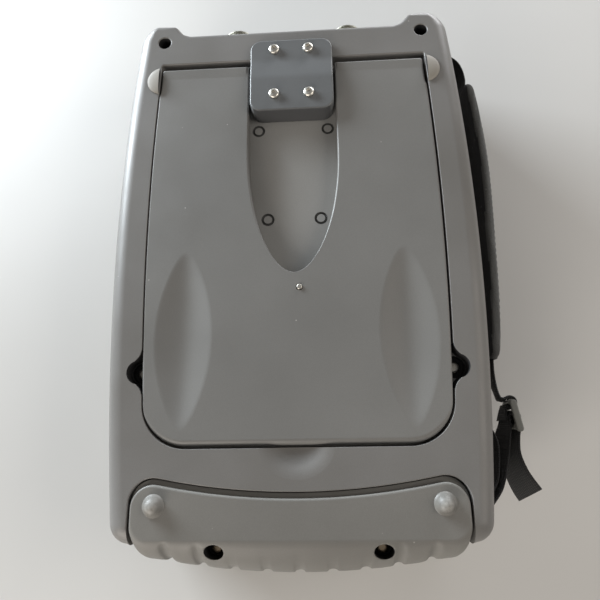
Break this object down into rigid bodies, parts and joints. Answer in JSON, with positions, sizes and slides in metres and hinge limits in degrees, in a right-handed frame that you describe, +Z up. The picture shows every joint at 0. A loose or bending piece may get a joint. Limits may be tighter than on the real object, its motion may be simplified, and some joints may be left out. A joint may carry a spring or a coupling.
{
  "type": "handheld spectrum analyzer",
  "caption": "Handheld spectrum analyzer with a folding back stand, lower bumper, coaxial ports, padded hand strap, keys, tuning knob and side doors.",
  "frame": {"origin": "middle of the whole object's box in plan, on the plane the front rim rests on", "axes": "+Z up out of the back, +Y towards the coaxial ports, +X towards the hand strap"},
  "size_m": [0.209, 0.2942, 0.073],
  "materials": {
    "case_grey": "moulded warm mid grey with a fine matte grain",
    "stand_grey": "moulded grey, a little smoother and greener than the case",
    "bumper_grey": "soft moulded grey with worn tips",
    "bracket_grey": "painted bluish grey",
    "foot_rubber": "pale beige rubber",
    "screw_steel": "plain steel",
    "port_metal": "plated turned metal",
    "plate_metal": "plain sheet",
    "seal_black": "black seal",
    "strap_black": "black woven webbing",
    "pad_grey": "dark grey padded sleeve",
    "buckle_plastic": "dark grey moulded",
    "window_glass": "dark clear window",
    "module_black": "black",
    "key_grey": "grey keys",
    "power_green": "green key",
    "knob_black": "black grip",
    "mat_rubber": "grey key mat",
    "board_green": "green circuit board",
    "shield_metal": "plain shield can",
    "battery_black": "black shell"
  },
  "bodies": {
    "case": {"rear_shell": "case_grey", "front_shell": "case_grey", "case_seal": "seal_black", "connector_plate": "plate_metal", "rf_port_left": "port_metal", "rf_port_right": "port_metal", "hinge_bracket": "bracket_grey", "bracket_screw_1": "screw_steel", "bracket_screw_2": "screw_steel", "bracket_screw_3": "screw_steel", "bracket_screw_4": "screw_steel", "upper_foot_left": "foot_rubber", "upper_foot_right": "foot_rubber", "bottom_bumper": "bumper_grey", "bumper_screw_left": "screw_steel", "bumper_screw_right": "screw_steel", "side_screw_left": "screw_steel", "side_screw_right": "screw_steel", "ear_screw_left": "screw_steel", "ear_screw_right": "screw_steel", "strap_webbing_upper": "strap_black", "strap_pad": "pad_grey", "strap_buckle": "buckle_plastic", "strap_webbing_lower": "strap_black", "strap_pin_upper": "screw_steel", "strap_pin_lower": "screw_steel", "display_window": "window_glass", "display_module": "module_black", "keypad_mat": "mat_rubber", "keypad_board": "board_green", "encoder": "module_black", "main_board": "board_green", "rf_module": "shield_metal", "battery_pack": "battery_black", "port_block": "module_black"},
    "stand": {"stand_plate": "stand_grey", "hinge_rod": "screw_steel", "catch_stud": "screw_steel"},
    "knob": {"tuning_knob": "knob_black"},
    "connector_door": {"connector_door": "case_grey"},
    "battery_door": {"battery_door": "case_grey"},
    "softkey_1": {"softkey_1": "key_grey"},
    "softkey_2": {"softkey_2": "key_grey"},
    "softkey_3": {"softkey_3": "key_grey"},
    "softkey_4": {"softkey_4": "key_grey"},
    "softkey_5": {"softkey_5": "key_grey"},
    "softkey_6": {"softkey_6": "key_grey"},
    "key_7": {"key_7": "key_grey"},
    "key_8": {"key_8": "key_grey"},
    "key_9": {"key_9": "key_grey"},
    "key_4": {"key_4": "key_grey"},
    "key_5": {"key_5": "key_grey"},
    "key_6": {"key_6": "key_grey"},
    "key_1": {"key_1": "key_grey"},
    "key_2": {"key_2": "key_grey"},
    "key_3": {"key_3": "key_grey"},
    "key_point": {"key_point": "key_grey"},
    "key_0": {"key_0": "key_grey"},
    "key_sign": {"key_sign": "key_grey"},
    "power_key": {"power_key": "power_green"}
  },
  "joints": [
    {"name": "stand_hinge", "type": "hinge", "parent": "case", "child": "stand", "pos_m": [-0.01095, 0.1079, 0.0633], "axis": [-1, 0, 0], "range_deg": [0, 40]},
    {"name": "knob_turn", "type": "hinge", "parent": "case", "child": "knob", "pos_m": [0.02305, -0.0624, 0.005], "axis": [0, 0, 1], "continuous": true},
    {"name": "connector_door_hinge", "type": "hinge", "parent": "case", "child": "connector_door", "pos_m": [-0.10153, 0.07135, 0.056], "axis": [0.0494, 0.9988, 0], "range_deg": [0, 90]},
    {"name": "battery_door_hinge", "type": "hinge", "parent": "case", "child": "battery_door", "pos_m": [-0.10275, -0.00659, 0.056], "axis": [-0.0125, 0.9999, 0], "range_deg": [0, 90]},
    {"name": "softkey_1_press", "type": "slide", "parent": "case", "child": "softkey_1", "axis": [0, 0, 1], "range_m": [0, 0.0012], "stiffness_N_per_m": 800},
    {"name": "softkey_2_press", "type": "slide", "parent": "case", "child": "softkey_2", "axis": [0, 0, 1], "range_m": [0, 0.0012], "stiffness_N_per_m": 800},
    {"name": "softkey_3_press", "type": "slide", "parent": "case", "child": "softkey_3", "axis": [0, 0, 1], "range_m": [0, 0.0012], "stiffness_N_per_m": 800},
    {"name": "softkey_4_press", "type": "slide", "parent": "case", "child": "softkey_4", "axis": [0, 0, 1], "range_m": [0, 0.0012], "stiffness_N_per_m": 800},
    {"name": "softkey_5_press", "type": "slide", "parent": "case", "child": "softkey_5", "axis": [0, 0, 1], "range_m": [0, 0.0012], "stiffness_N_per_m": 800},
    {"name": "softkey_6_press", "type": "slide", "parent": "case", "child": "softkey_6", "axis": [0, 0, 1], "range_m": [0, 0.0012], "stiffness_N_per_m": 800},
    {"name": "key_7_press", "type": "slide", "parent": "case", "child": "key_7", "axis": [0, 0, 1], "range_m": [0, 0.0012], "stiffness_N_per_m": 800},
    {"name": "key_8_press", "type": "slide", "parent": "case", "child": "key_8", "axis": [0, 0, 1], "range_m": [0, 0.0012], "stiffness_N_per_m": 800},
    {"name": "key_9_press", "type": "slide", "parent": "case", "child": "key_9", "axis": [0, 0, 1], "range_m": [0, 0.0012], "stiffness_N_per_m": 800},
    {"name": "key_4_press", "type": "slide", "parent": "case", "child": "key_4", "axis": [0, 0, 1], "range_m": [0, 0.0012], "stiffness_N_per_m": 800},
    {"name": "key_5_press", "type": "slide", "parent": "case", "child": "key_5", "axis": [0, 0, 1], "range_m": [0, 0.0012], "stiffness_N_per_m": 800},
    {"name": "key_6_press", "type": "slide", "parent": "case", "child": "key_6", "axis": [0, 0, 1], "range_m": [0, 0.0012], "stiffness_N_per_m": 800},
    {"name": "key_1_press", "type": "slide", "parent": "case", "child": "key_1", "axis": [0, 0, 1], "range_m": [0, 0.0012], "stiffness_N_per_m": 800},
    {"name": "key_2_press", "type": "slide", "parent": "case", "child": "key_2", "axis": [0, 0, 1], "range_m": [0, 0.0012], "stiffness_N_per_m": 800},
    {"name": "key_3_press", "type": "slide", "parent": "case", "child": "key_3", "axis": [0, 0, 1], "range_m": [0, 0.0012], "stiffness_N_per_m": 800},
    {"name": "key_point_press", "type": "slide", "parent": "case", "child": "key_point", "axis": [0, 0, 1], "range_m": [0, 0.0012], "stiffness_N_per_m": 800},
    {"name": "key_0_press", "type": "slide", "parent": "case", "child": "key_0", "axis": [0, 0, 1], "range_m": [0, 0.0012], "stiffness_N_per_m": 800},
    {"name": "key_sign_press", "type": "slide", "parent": "case", "child": "key_sign", "axis": [0, 0, 1], "range_m": [0, 0.0012], "stiffness_N_per_m": 800},
    {"name": "power_key_press", "type": "slide", "parent": "case", "child": "power_key", "axis": [0, 0, 1], "range_m": [0, 0.0012], "stiffness_N_per_m": 800}
  ]
}
